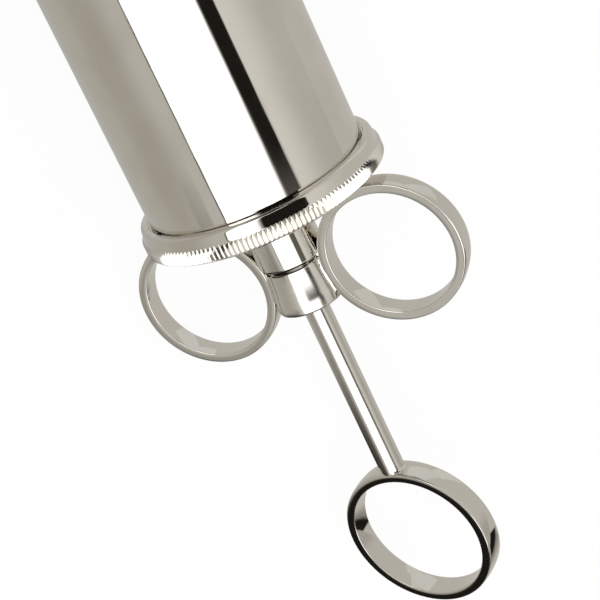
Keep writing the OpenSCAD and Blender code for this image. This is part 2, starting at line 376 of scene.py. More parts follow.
@dataclass(frozen=True)
class TurnedMetal(Finish):
    """Metal with the fine rings that a lathe leaves."""

    colour: Colour
    stain_colour: Colour
    stain_share: float = 0.7
    stain: Pattern = Pattern(4 * MM, 5.0, edge=0.55, soft=0.3)
    rings: Pattern = Pattern(0.22 * MM, depth=0.004 * MM, strength=0.8)
    roughness: float = 0.22
    stain_roughness: float = 0.18

    def look(self, graph: Graph) -> Look:
        """Lays the rings and the stains.

        Args:
            graph: The material's graph.

        Returns:
            Base colour, roughness and normal.
        """
        _, side, up = graph.axes()
        height = up - AXIS_HEIGHT
        radius = (side * side + height * height) ** 0.5
        rings = (radius * (math.tau / self.rings.size)).sine() * 0.5 + 0.5
        stain = graph.patches(self.stain)
        colour = graph.mix(stain * self.stain_share, self.colour, self.stain_colour)
        rough = self.roughness + stain * self.stain_roughness
        return colour, rough, graph.bump(rings, self.rings)


@dataclass(frozen=True)
class BrazeMetal(Finish):
    """Plated silver solder: smooth where it thins out, puckered where it filled the corner."""

    colour: Colour = (0.80, 0.775, 0.73)
    bright: Colour = (0.90, 0.885, 0.85)
    lumps: Pattern = Pattern(0.45 * MM, 3.0, depth=0.16 * MM, strength=0.9)
    pits: Pattern = Pattern(0.32 * MM, depth=0.05 * MM, strength=0.6)
    ragged: float = 0.3
    seam_edge: float = 0.75
    seam_soft: float = 0.5
    roughness: float = 0.05
    seam_roughness: float = 0.3

    def look(self, graph: Graph) -> Look:
        """Lays lumps and pits along the seam, which is where the attribute "fill" is high.

        Args:
            graph: The material's graph.

        Returns:
            Base colour, roughness and normal.
        """
        fill = graph.node("ShaderNodeAttribute", {"attribute_name": "fill"}, {}, output="Fac")
        lumps = graph.noise(self.lumps)
        seam = (fill + lumps * self.ragged).step(self.seam_edge, self.seam_soft)
        colour = graph.mix(seam, self.colour, self.bright)
        rough = self.roughness + seam * lumps * self.seam_roughness
        lumpy = graph.bump(lumps * seam, self.lumps)
        return colour, rough, graph.bump(graph.cells(self.pits) * seam, self.pits, lumpy)


@dataclass(frozen=True)
class OiledLeather(Finish):
    """Leather with pores and fibres, dark where oil soaked in."""

    metallic: ClassVar[float] = 0.0
    colour: Colour = (0.30, 0.17, 0.085)
    dark: Colour = (0.10, 0.05, 0.022)
    oil: Pattern = Pattern(5 * MM, 5.0, edge=0.52, soft=0.4)
    pores: Pattern = Pattern(0.7 * MM, edge=0.06, soft=0.12, depth=0.06 * MM, strength=0.7)
    fibre: Pattern = Pattern(0.25 * MM, 3.0, depth=0.03 * MM, strength=0.6)
    roughness: float = 0.42
    fibre_roughness: float = 0.25
    oil_gloss: float = 0.12

    def look(self, graph: Graph) -> Look:
        """Lays pores over fibres, and the oil's patches.

        Args:
            graph: The material's graph.

        Returns:
            Base colour, roughness and normal.
        """
        oil = graph.patches(self.oil)
        fibre = graph.noise(self.fibre)
        pores = graph.cells(self.pores, "DISTANCE_TO_EDGE").step(self.pores.edge, self.pores.soft)
        colour = graph.mix(oil, self.colour, self.dark)
        rough = self.roughness + fibre * self.fibre_roughness - oil * self.oil_gloss
        return colour, rough, graph.bump(pores, self.pores, graph.bump(fibre, self.fibre))


def straight(x0: float, r0: float, x1: float, r1: float, steps: int) -> list[Point]:
    """Evenly spaced points (x, r) of a straight stretch, ends included."""
    return [(x0 + (x1 - x0) * i / steps, r0 + (r1 - r0) * i / steps) for i in range(steps + 1)]


class Outline:
    """A profile for turning, drawn one stretch after another as (x, r) points."""

    def __init__(self, *points: Point) -> None:
        """Starts the outline with its first points."""
        self.points = list(points)

    def add(self, points: Sequence[Point]) -> "Outline":
        """Adds points, without those that repeat the last one.

        Args:
            points: The points.

        Returns:
            The outline, so that calls can follow each other.
        """
        for point in points:
            if not self.points or math.dist(point, self.points[-1]) > SAME_PLACE:
                self.points.append(point)
        return self

    def line(self, x: float, r: float, steps: int = 1) -> "Outline":
        """Draws a straight stretch from the last point to another."""
        return self.add(straight(*self.points[-1], x, r, steps))

    def arc(
        self, x: float, r: float, radius: float, start: float, end: float, steps: int, reach: float = 0.0
    ) -> "Outline":
        """Draws an arc round (x, r) by degrees from outward towards +X, or an oval one of a given reach."""
        angles = [math.radians(start + (end - start) * i / steps) for i in range(steps + 1)]
        return self.add([(x + (reach or radius) * math.sin(a), r + radius * math.cos(a)) for a in angles])

    def wave(self, x: float, r: float, steps: int) -> "Outline":
        """Draws half a wave from the last point to another.

        Args:
            x: Place of its end along the axis.
            r: Radius of its end.
            steps: Number of steps.

        Returns:
            The outline.
        """
        x0, r0 = self.points[-1]
        shares = [i / steps for i in range(steps + 1)]
        return self.add(
            [(x0 + (x - x0) * s, r0 + (r - r0) * (1 - math.cos(math.pi * s)) / 2) for s in shares]
        )

    def flare(self, turn: float, x: float, r: float, steps: int) -> "Outline":
        """Draws a flare that steepens up to a turn and levels out from there.

        Args:
            turn: Place where it is steepest.
            x: Place of its end along the axis.
            r: Radius of its end.
            steps: Number of steps.

        Returns:
            The outline.
        """
        x0, r0 = self.points[-1]
        slope = (r - r0) / (x - x0)
        for place, _ in straight(x0, r0, x, r, steps):
            near = (place - x0) ** 2 / (turn - x0)
            far = x - x0 - (x - place) ** 2 / (x - turn)
            self.add([(place, r0 + slope * (near if place <= turn else far))])
        return self

    def placed(self, origin: float, facing: int = 1) -> list[Point]:
        """The points with x measured from an origin, towards +X (1) or -X (-1)."""
        return [(origin + facing * x, r) for x, r in self.points]


@dataclass(frozen=True)
class Grooves:
    """V grooves in the outside of a turned piece: a thread, or a knurl where the pitch is endless."""

    start: float
    root: float
    depth: float
    end: float = math.inf
    pitch: float = math.inf
    count: int = 1
    width: float = 1.0
    run_out: float = 0.0

    def __call__(self, x: float, radius: float, angle: float) -> Point:
        """Cuts the grooves where a point lies between start and end and not under the root.

        Args:
            x: Place of the point along the axis.
            radius: Its radius.
            angle: Its angle round the axis.

        Returns:
            Its new place and radius.
        """
        inward = min(x - self.start, self.end - x)
        if inward < 0 or radius < self.root:
            return x, radius
        phase = (x / self.pitch + angle / math.tau * self.count) % 1.0
        fade = min(1.0, inward / self.run_out) if self.run_out else 1.0
        return x, radius - self.depth * fade * (1 - min(1.0, abs(2 * phase - 1) / self.width))


def link_object(name: str, data: bpy.types.ID) -> bpy.types.Object:
    """Puts a new object into the scene.

    Args:
        name: Its name.
        data: Its mesh, camera or lamp.

    Returns:
        The object.
    """
    made = bpy.data.objects.new(name, data)
    bpy.context.scene.collection.objects.link(made)
    return made


def turned(first: Vector, second: Vector) -> Matrix:
    """The turn from one direction to another."""
    return first.rotation_difference(second).to_matrix().to_4x4()


def mount(name: str) -> tuple[Vector, Vector]:
    """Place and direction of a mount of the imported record."""
    found = next(m for m in frame["record"]["mounts"] if m["name"] == name)
    return Vector(found["pos_m"]), Vector(found["axis"]).normalized()


def spin_round(
    mesh: bmesh.types.BMesh, places: Sequence[Place], centre: Vector, axis: str, steps: int
) -> None:
    """Spins a closed outline right round an axis, as a sector that is doubled until it closes.

    Args:
        mesh: The bmesh that it is made in.
        places: The outline's corners.
        centre: A point of the axis.
        axis: "X" or "Z".
        steps: Number of steps round the axis.
    """
    verts = [mesh.verts.new(place) for place in places]
    edges = [mesh.edges.new(pair) for pair in zip(verts, verts[1:] + verts[:1])]
    doublings = 0
    while steps % 2 == 0 and steps > FEWEST_STEPS:
        steps //= 2
        doublings += 1
    sector = math.tau / 2**doublings
    bmesh.ops.spin(
        mesh,
        geom=verts + edges,
        cent=centre,
        axis=ALONG if axis == "X" else UP,
        angle=sector,
        steps=steps,
        use_merge=not doublings,
    )
    for count in range(doublings):
        made = bmesh.ops.duplicate(mesh, geom=mesh.verts[:] + mesh.edges[:] + mesh.faces[:])
        fresh = [item for item in made["geom"] if isinstance(item, bmesh.types.BMVert)]
        turn = Matrix.Rotation(sector * 2**count, 3, axis)
        bmesh.ops.rotate(mesh, cent=centre, matrix=turn, verts=fresh)
    bmesh.ops.remove_doubles(mesh, verts=mesh.verts, dist=MERGE_GAP)


def split(piece: bpy.types.Object, point: Vector, away: Vector) -> None:
    """Cuts a closed piece at a plane and closes the cut.

    Args:
        piece: The piece, which is changed.
        point: A point of the plane.
        away: Direction towards the side that is taken off.
    """
    mesh = bmesh.new()
    mesh.from_mesh(piece.data)
    everything = mesh.verts[:] + mesh.edges[:] + mesh.faces[:]
    bmesh.ops.bisect_plane(mesh, geom=everything, plane_co=point, plane_no=away, clear_outer=True)
    bmesh.ops.holes_fill(mesh, edges=[edge for edge in mesh.edges if edge.is_boundary])
    mesh.to_mesh(piece.data)
    mesh.free()


@dataclass
class Workshop:
    """Makes and dresses pieces: what every sub-assembly needs."""

    finishes: dict[Coat, bpy.types.Material]

    def turn(self, name: str, profile: Sequence[Point], steps: int, *cuts: Cut) -> bpy.types.Object:
        """Spins a closed profile about the syringe's axis.

        Args:
            name: Name of the piece.
            profile: Closed outline as (x, r) points.
            steps: Number of steps round the axis.
            cuts: Each gives a new (x, radius) from (x, radius, angle), where the piece isn't plainly round.

        Returns:
            The piece.
        """
        mesh = bmesh.new()
        places = [(x, 0.0, AXIS_HEIGHT + r) for x, r in profile]
        spin_round(mesh, places, Vector((0.0, 0.0, AXIS_HEIGHT)), "X", steps)
        for vert in mesh.verts if cuts else ():
            side, up = vert.co.y, vert.co.z - AXIS_HEIGHT
            radius = math.hypot(side, up)
            x, shaped = vert.co.x, radius
            for cut in cuts:
                x, shaped = cut(x, shaped, math.atan2(side, up))
            if radius > 0:
                vert.co = (x, side * shaped / radius, AXIS_HEIGHT + up * shaped / radius)
        return self.finish_mesh(name, mesh)

    def finish_mesh(self, name: str, mesh: bmesh.types.BMesh) -> bpy.types.Object:
        """Turns a bmesh into a smooth-shaded object with its faces outwards.

        Args:
            name: Name of the piece.
            mesh: The bmesh, which is freed.

        Returns:
            The piece.
        """
        bmesh.ops.recalc_face_normals(mesh, faces=mesh.faces)
        for face in mesh.faces:
            face.smooth = True
        data = bpy.data.meshes.new(name)
        mesh.to_mesh(data)
        mesh.free()
        data.set_sharp_from_angle(angle=SMOOTH_ANGLE)
        return link_object(name, data)

    def dress(self, piece: bpy.types.Object, coat: Coat, part: Part, slot: Slot, *nodes: str) -> None:
        """Gives a piece its finish, its body and the nodes that it stands for.

        Args:
            piece: The piece.
            coat: Its finish.
            part: The body that it rides on.
            slot: Its material slot; not used.
            nodes: Solids that it replaces.
        """
        piece.data.materials.clear()
        piece.data.materials.append(self.finishes[coat])
        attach(piece, part.value)
        if nodes:
            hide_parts(*nodes)
        LOG.info("%s: %d faces, rides on %s", piece.name, len(piece.data.polygons), part.value)

    def refinish(self, node: str, coat: Coat) -> None:
        """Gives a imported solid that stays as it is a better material.

        Args:
            node: Name of the solid.
            coat: Its finish.
        """
        for slot in frame["nodes"][node].material_slots:
            slot.material = self.finishes[coat]
        LOG.info("%s: keeps its solid", node)


@dataclass
class Barrel:
    """The drawn tube with a fine thread at each end."""

    shop: Workshop
    radius: float = 20 * MM
    wall: float = 1 * MM
    edge: float = 0.15 * MM
    pitch: float = 1 * MM
    thread_len: float = 3 * MM
    thread_depth: float = 0.35 * MM
    thread_steps: int = 30
    steps: int = 256

    def build(self) -> None:
        """Builds the tube."""
        low, high = (p.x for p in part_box("barrel"))
        rear_end, front_end = low + self.thread_len, high - self.thread_len
        outer, inner, edge = self.radius, self.radius - self.wall, self.edge
        outline = Outline((low, inner)).arc(low + edge, outer - edge, edge, -90, 0, steps=3)
        outline.line(rear_end, outer, self.thread_steps).line(front_end, outer, steps=24)
        outline.line(high - edge, outer, self.thread_steps)
        outline.arc(high - edge, outer - edge, edge, 0, 90, steps=3).line(high, inner)
        thread = partial(
            Grooves, root=outer - edge / 2, depth=self.thread_depth, pitch=self.pitch, run_out=edge
        )
        threads = thread(low, end=rear_end), thread(front_end, end=high)
        piece = self.shop.turn("barrel_tube", outline.points, self.steps, *threads)
        self.shop.dress(piece, Coat.DRAWN, Part.BARREL, Slot.NICKEL, "barrel")


@dataclass
class ScrewCap:
    """What the two screw caps share: rim, smooth band, knurled bead and a plain bore where the thread would
    be.

    A cap faces along the syringe from its rim: 1 towards the nozzle, -1 towards the rod.
    """

    part: ClassVar[Part]
    rim: ClassVar[float]
    facing: ClassVar[int]
    shop: Workshop
    tube_radius: float = 20 * MM
    thread_gap: float = 0.05 * MM
    mouth_gap: float = 0.4 * MM
    mouth_len: float = 0.6 * MM
    mouth_edge: float = 0.08 * MM
    wall: float = 2.1 * MM
    band_len: float = 2.1 * MM
    band_taper: float = 0.25 * MM
    bead_len: float = 2.6 * MM
    bead_rise: float = 0.45 * MM
    bead_climb: float = 0.55 * MM
    bead_round: float = 0.25 * MM
    rim_flat: float = 0.7 * MM
    floor: float = 0.7 * MM
    edge_step: float = 0.3 * MM
    teeth: int = 160
    knurl_depth: float = 0.44 * MM
    steps_a_tooth: int = 4

    @property
    def mouth(self) -> float:
        """Radius of the mouth."""
        return self.tube_radius + self.mouth_gap

    @property
    def bore(self) -> float:
        """Radius of the bore, which is left without its thread."""
        return self.tube_radius + self.thread_gap

    @property
    def band(self) -> float:
        """Radius of the smooth band."""
        return self.bore + self.wall

    @property
    def bead(self) -> float:
        """Radius over the knurled bead."""
        return self.band + self.bead_rise

    @property
    def length(self) -> float:
        """Length from the rim to the end of the bead."""
        return self.band_len + self.bead_len

    @property
    def depth(self) -> float:
        """Depth from the rim to the inside of the cap's end."""
        return self.length - self.floor

    def collar(self) -> Outline:
        """Draws the mouth, the rim, the band and the bead.

        Returns:
            The outline as (distance from the rim, radius).
        """
        front = self.band - self.band_taper
        rounding = front - self.mouth - self.rim_flat
        crest = self.band_len + self.bead_climb
        end = self.length - self.bead_round
        outline = Outline((self.mouth_edge, self.mouth), (0.0, self.mouth + self.mouth_edge))
        outline.arc(rounding, front - rounding, rounding, -90, -8, steps=8)
        outline.add(straight(rounding, front, self.band_len, self.band, steps=4)[1:])
        outline.line(crest, self.bead, steps=3).line((crest + end) / 2, self.bead)
        outline.arc(end, self.bead - self.bead_round, self.bead_round, 0, 90, steps=5)
        return outline.line(self.length + self.edge_step, self.band - self.edge_step, steps=4)

    def knurl(self, x: float, radius: float, angle: float) -> Point:
        """Cuts one point of the straight knurl, whose grooves run out on the bead's front.

        Args:
            x: Place of the point along the axis.
            radius: Its radius.
            angle: Its angle round the axis.

        Returns:
            Its new place and radius.
        """
        distance = self.facing * (x - self.rim)
        if distance <= self.band_len or radius < self.band:
            return x, radius
        phase = angle / math.tau * self.teeth % 1.0
        groove = self.bead - self.knurl_depth * (1 - abs(2 * phase - 1))
        if distance > self.band_len + self.bead_climb:
            return x, min(radius, groove)
        share = (groove - self.band) / self.bead_rise
        climbed = (distance - self.band_len) * share
        return self.rim + self.facing * (self.band_len + climbed), self.band + (radius - self.band) * share

    def make(self, outline: Outline) -> None:
        """Bores, turns, knurls and dresses the cap.

        Args:
            outline: Its outline but for the bore, as (distance from the rim, radius).
        """
        outline.add([(self.depth, self.bore), (self.mouth_len, self.bore), (self.mouth_len, self.mouth)])
        profile, node = outline.placed(self.rim, self.facing), self.part.value
        piece = self.shop.turn(f"{node}_turning", profile, self.teeth * self.steps_a_tooth, self.knurl)
        self.shop.dress(piece, Coat.TURNED, self.part, Slot.NICKEL, node)


@dataclass
class RearCap(ScrewCap):
    """The cap that guides the rod, turned in one piece with its neck and boss."""

    part: ClassVar[Part] = Part.REAR_CAP
    rim: ClassVar[float] = REAR_RIM
    facing: ClassVar[int] = -1
    dome_rise: float = 1.7 * MM
    neck: float = 6.25 * MM
    neck_end: float = 16.2 * MM
    neck_fillet: float = 2 * MM
    cove_depth: float = 0.55 * MM
    cove_fall: float = 1.5 * MM
    flare_turn: float = 23.0 * MM
    flare_end: float = 24.6 * MM
    boss: float = 6.35 * MM
    boss_round: float = 0.5 * MM
    boss_end: float = 25.8 * MM
    rod_bore: float = 2.45 * MM

    @cached_property
    def neck_points(self) -> list[Point]:
        """Draws the neck, the cove and the boss.

        Returns:
            Their points as (distance from the rim, radius).
        """
        root = self.length + self.edge_step + self.dome_rise
        fillet, end = self.neck_fillet, self.boss_round
        outline = Outline().arc(root + fillet, self.neck + fillet, fillet, 270, 180, steps=8)
        outline.line(self.neck_end, self.neck)
        outline.wave(self.neck_end + self.cove_fall, self.neck - self.cove_depth, steps=10)
        outline.flare(self.flare_turn, self.flare_end, self.boss, steps=24)
        return outline.arc(self.boss_end - end, self.boss - end, end, 0, 90, steps=6).points

    def radius_at(self, x: float) -> float:
        """Radius of the neck or the boss.

        Args:
            x: Place along the syringe.

        Returns:
            The radius there.
        """
        distance = REAR_RIM - x
        for (x0, r0), (x1, r1) in zip(self.neck_points, self.neck_points[1:]):
            if x0 <= distance <= x1 and x1 > x0:
                return r0 + (r1 - r0) * (distance - x0) / (x1 - x0)
        return self.boss

    def build(self) -> None:
        """Builds the cap."""
        outline = self.collar().add(self.neck_points)
        outline.line(self.boss_end, self.rod_bore + self.boss_round)
        outline.line(self.boss_end - self.boss_round, self.rod_bore).line(self.depth, self.rod_bore)
        self.make(outline)


@dataclass
class FrontCap(ScrewCap):
    """The domed cap that carries the nozzle's spigot."""

    part: ClassVar[Part] = Part.FRONT_CAP
    rim: ClassVar[float] = FRONT_RIM
    facing: ClassVar[int] = 1
    dome_rise: float = 8 * MM
    boss: float = 7.5 * MM
    boss_len: float = 4 * MM
    spigot: float = 4 * MM
    spigot_bore: float = 1.75 * MM
    spigot_root: float = 6 * MM
    funnel_end: float = 1 * MM
    funnel: float = 16.9 * MM

    def build(self) -> None:
        """Builds the cap."""
        foot = self.length + self.edge_step
        face = foot + self.dome_rise + self.boss_len
        width, edge = self.band - 2 * self.edge_step - self.boss, self.edge_step
        root = self.depth + self.spigot_root
        outline = self.collar().arc(foot, self.boss, width, 0, 90, steps=24, reach=self.dome_rise)
        outline.arc(face - edge, self.boss - edge, edge, 0, 90, steps=4)
        outline.line(face, self.spigot).line(root, self.spigot).line(root, self.spigot_bore)
        outline.line(root - self.funnel_end, self.spigot_bore).line(self.depth, self.funnel)
        self.make(outline)


@dataclass
class Ring:
    """A band ring with a slightly domed outside, held on one side."""

    shop: Workshop
    centre: Vector
    normal: Vector
    bore: float
    wall: float
    width: float
    dome: float = 0.2 * MM
    edge: float = 0.14 * MM
    edge_lean: float = 20.0
    steps: int = 224

    @property
    def outer(self) -> float:
        """Radius over the band."""
        return self.bore + self.wall

    def section(self) -> list[Point]:
        """Draws the band's section.

        Returns:
            Its outline as (height, radius).
        """
        half = self.width / 2
        bow = (half * half + self.dome**2) / (2 * self.dome)
        lean = math.degrees(math.asin((half - self.edge) / bow))
        high, edge = half - self.edge, self.edge
        shoulder, foot = self.outer - self.dome - edge, self.bore + edge
        outline = Outline().arc(0.0, self.outer - bow, bow, -lean, lean, steps=12)
        outline.arc(high, shoulder, edge, self.edge_lean, 90, steps=4).arc(high, foot, edge, 90, 180, steps=4)
        outline.arc(-high, foot, edge, 180, 270, steps=4)
        return outline.arc(-high, shoulder, edge, 270, 360 - self.edge_lean, steps=4).points

    def clearance(self, place: Vector) -> float:
        """How far a point lies outside the band.

        Args:
            place: The point.

        Returns:
            The distance, less than 0 inside the band.
        """
        offset = place - self.centre
        height = offset.dot(self.normal)
        reach = (offset - self.normal * height).length
        return max(abs(height) - self.width / 2, reach - self.outer)

    def make(self, name: str) -> bpy.types.Object:
        """Makes the ring in its place.

        Args:
            name: Name of the piece.

        Returns:
            The piece.
        """
        mesh = bmesh.new()
        spin_round(mesh, [(r, 0.0, z) for z, r in self.section()], Vector(), "Z", self.steps)
        mesh.transform(Matrix.Translation(self.centre) @ turned(UP, self.normal))
        return self.shop.finish_mesh(name, mesh)


@dataclass
class SolderFillet:
    """Solder that ran into the corner between a ring and its stem and froze there."""

    shop: Workshop
    ring: Ring
    stem: Callable[[float], float]
    voxel: float = 0.16 * MM
    passes: int = 60
    pull: float = 0.5
    sink: float = 0.025 * MM
    full: float = 0.3 * MM

    def melted(self, name: str, cores: Sequence[bpy.types.Object]) -> bmesh.types.BMesh:
        """Melts closed cores into one smooth pool.

        Args:
            name: Name of the piece.
            cores: Closed copies of the joined pieces' ends, which are used up.

        Returns:
            The pool.
        """
        mesh = bmesh.new()
        for core in cores:
            mesh.from_mesh(core.data)
            bpy.data.objects.remove(core)
        data = bpy.data.meshes.new(name)
        mesh.to_mesh(data)
        pool = link_object(name + "_pool", data)
        melt = pool.modifiers.new("melt", "REMESH")
        melt.mode = "VOXEL"
        melt.voxel_size = self.voxel
        flow = pool.modifiers.new("flow", "SMOOTH")
        flow.factor = self.pull
        flow.iterations = self.passes
        bpy.context.view_layer.update()
        data = bpy.data.meshes.new_from_object(pool.evaluated_get(bpy.context.evaluated_depsgraph_get()))
        bpy.data.objects.remove(pool)
        mesh.clear()
        mesh.from_mesh(data)
        bpy.data.meshes.remove(data)
        return mesh

    def make(self, name: str, *cores: bpy.types.Object) -> bpy.types.Object:
        """Melts two cores into one, so that only their corner stands out of the pieces round them.

        Args:
            name: Name of the piece.
            cores: Closed copies of the ends of the stem and the ring, which are used up.

        Returns:
            The piece, with how full the corner is in its attribute "fill".
        """
        mesh = self.melted(name, cores)
        mesh.normal_update()
        fill = mesh.verts.layers.float.new("fill")
        for vert in mesh.verts:
            from_stem = math.hypot(vert.co.y, vert.co.z - AXIS_HEIGHT) - self.stem(vert.co.x)
            depth = min(from_stem, self.ring.clearance(vert.co))
            vert[fill] = min(max(depth / self.full, 0.0), 1.0)
            vert.co -= vert.normal * self.sink
        return self.shop.finish_mesh(name, mesh)


@dataclass
class FingerRings:
    """The two finger rings and the solder that holds them to the boss."""

    shop: Workshop
    cap: RearCap
    bore: float = 11.6 * MM
    wall: float = 1.8 * MM
    width: float = 4.4 * MM
    core_start: float = 11.0 * MM
    core_end: float = 0.1 * MM
    core_bore: float = 3.2 * MM
    core_reach: float = 9.0 * MM
    core_steps: int = 128

    def solder(self, side: str, ring: Ring) -> bpy.types.Object:
        """Makes the fillet between a ring and the boss.

        Args:
            side: "left" or "right".
            ring: The ring.

        Returns:
            The piece.
        """
        foot = Vector((ring.centre.x, 0.0, AXIS_HEIGHT))
        out = (ring.centre - foot).normalized()
        last = self.cap.boss_end - self.core_end
        outline = Outline(*[(x, r) for x, r in self.cap.neck_points if self.core_start < x < last])
        first_x, last_x = outline.points[0][0], outline.points[-1][0]
        outline.line(last_x, self.core_bore).line(first_x, self.core_bore)
        boss = self.shop.turn(f"{side}_boss_core", outline.placed(REAR_RIM, -1), self.core_steps)
        split(boss, foot + out * self.core_bore, -out)
        band = ring.make(f"{side}_band_core")
        split(band, foot + out * self.core_reach, out)
        return SolderFillet(self.shop, ring, self.cap.radius_at).make(f"{side}_finger_solder", boss, band)

    def build(self) -> None:
        """Builds both rings and their solder."""
        for side in ("left", "right"):
            ring = Ring(self.shop, *mount(f"{side}_finger_eye"), self.bore, self.wall, self.width)
            piece = ring.make(f"{side}_finger_band")
            self.shop.dress(piece, Coat.RING, Part.REAR_CAP, Slot.NICKEL, f"{side}_finger_ring")
            self.shop.dress(self.solder(side, ring), Coat.SOLDER, Part.REAR_CAP, Slot.NICKEL)


@dataclass
class Plunger:
    """The rod with its threaded stud, and the thumb ring."""

    shop: Workshop
    rod: float = 2.4 * MM
    stud: float = 1.9 * MM
    edge: float = 0.2 * MM
    thread_pitch: float = 0.7 * MM
    thread_depth: float = 0.3 * MM
    thread_root: float = 1.52 * MM
    thread_run_out: float = 0.1 * MM
    thumb_bore: float = 13.15 * MM
    thumb_wall: float = 1.85 * MM
    thumb_width: float = 4.8 * MM
    core_len: float = 5 * MM
    core_reach: float = 13.2 * MM
    solder_voxel: float = 0.12 * MM
    solder_passes: int = 40
    rod_steps: int = 72
    core_steps: int = 96

    def shaft(self, start: float) -> None:
        """Builds the rod.

        Args:
            start: Place of its end in the thumb ring's wall.
        """
        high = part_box("plunger_rod")[1].x
        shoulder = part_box("piston_rear_plate")[0].x
        edge = self.edge
        outline = Outline((start, 0.0), (start, self.rod)).line(shoulder - edge, self.rod, steps=30)
        outline.line(shoulder, self.rod - edge).line(shoulder, self.stud)
        outline.line(high - edge, self.stud, steps=70).line(high, self.stud - 2 * edge).line(high, 0.0)
        thread = Grooves(
            shoulder,
            self.thread_root,
            self.thread_depth,
            pitch=self.thread_pitch,
            run_out=self.thread_run_out,
        )
        rod = self.shop.turn("plunger_shaft", outline.points, self.rod_steps, thread)
        self.shop.dress(rod, Coat.ROD, Part.PLUNGER, Slot.NICKEL, "plunger_rod")

    def build(self) -> None:
        """Builds the rod, the thumb ring and its solder."""
        centre, normal = mount("thumb_ring_eye")
        start = centre.x + self.thumb_bore + self.thumb_wall / 2
        self.shaft(start)
        ring = Ring(self.shop, centre, normal, self.thumb_bore, self.thumb_wall, self.thumb_width)
        self.shop.dress(ring.make("thumb_band"), Coat.RING, Part.PLUNGER, Slot.NICKEL, "thumb_ring")
        end = start + self.core_len
        core = Outline((start, 0.0), (start, self.rod), (end, self.rod), (end, 0.0))
        shaft = self.shop.turn("thumb_shaft_core", core.points, self.core_steps)
        near = ring.make("thumb_band_core")
        split(near, centre + ALONG * self.core_reach, -ALONG)
        fillet = SolderFillet(self.shop, ring, lambda x: self.rod, self.solder_voxel, self.solder_passes)
        solder = fillet.make("thumb_solder", shaft, near)
        self.shop.dress(solder, Coat.SOLDER, Part.PLUNGER, Slot.NICKEL)


@dataclass
class Piston:
    """The stack of plates, cup leathers and nut on the rod's stud."""

    shop: Workshop
    leather: float = 1.5 * MM
    lip: float = 5 * MM
    room: float = 0.01 * MM
    hole: float = 1.95 * MM
    nut_flats: float = 7 * MM
    nut_chamfer: float = 0.35 * MM
    steps: int = 128

    def cup(self, name: str, node: str, facing: int) -> None:
        """Builds one cup leather.

        Args:
            name: Name of the piece.
            node: Solid that it replaces.
            facing: 1 where its lip faces the nozzle, -1 where it faces the rod.
        """
        low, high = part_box(node)
        outer = (high.z - low.z) / 2
        bend, inner, tip = self.leather, outer - self.leather, self.leather / 2
        lip_end, floor = self.leather + self.lip - tip, self.leather - self.room
        outline = Outline((0.0, self.hole)).line(0.0, outer - bend)
        outline.arc(bend, outer - bend, bend, -90, 0, steps=8).line(lip_end, outer, steps=6)
        outline.arc(lip_end, outer - tip, tip, 0, 180, steps=10).line(floor + tip, inner, steps=6)
        outline.arc(floor + tip, inner - tip, tip, 360, 270, steps=6).line(floor, self.hole)
        profile = outline.placed(low.x if facing > 0 else high.x, facing)
        piece = self.shop.turn(name, profile, self.steps)
        self.shop.dress(piece, Coat.LEATHER, Part.LEATHERS, Slot.LEATHER, node)

    def nut(self) -> None:
        """Builds the hexagonal nut with chamfered corners."""
        low, high = (p.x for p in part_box("piston_nut"))
        _, normal = mount("thumb_ring_eye")
        corner = self.nut_flats / math.sqrt(3)
        mesh = bmesh.new()
        bmesh.ops.create_cone(
            mesh, cap_ends=True, segments=6, radius1=corner, radius2=corner, depth=high - low
        )
        bmesh.ops.bevel(
            mesh,
            geom=[e for e in mesh.edges if abs(e.verts[0].co.z - e.verts[1].co.z) < SAME_PLACE],
            offset=self.nut_chamfer,
            affect="EDGES",
            segments=2,
            profile=0.5,
            material=-1,
        )
        place = Matrix.Translation(Vector(((low + high) / 2, 0.0, AXIS_HEIGHT)))
        mesh.transform(place @ turned(UP, normal) @ turned(UP, ALONG))
        piece = self.shop.finish_mesh("piston_hex_nut", mesh)
        self.shop.dress(piece, Coat.BRASS, Part.PLUNGER, Slot.BRASS, "piston_nut")

    def build(self) -> None:
        """Builds the leathers and the nut and finishes the plates."""
        self.cup("front_cup", "front_cup_leather", 1)
        self.cup("rear_cup", "rear_cup_leather", -1)
        self.nut()
        for node in ("piston_rear_plate", "piston_spacer", "piston_front_plate"):
            self.shop.refinish(node, Coat.BRASS)


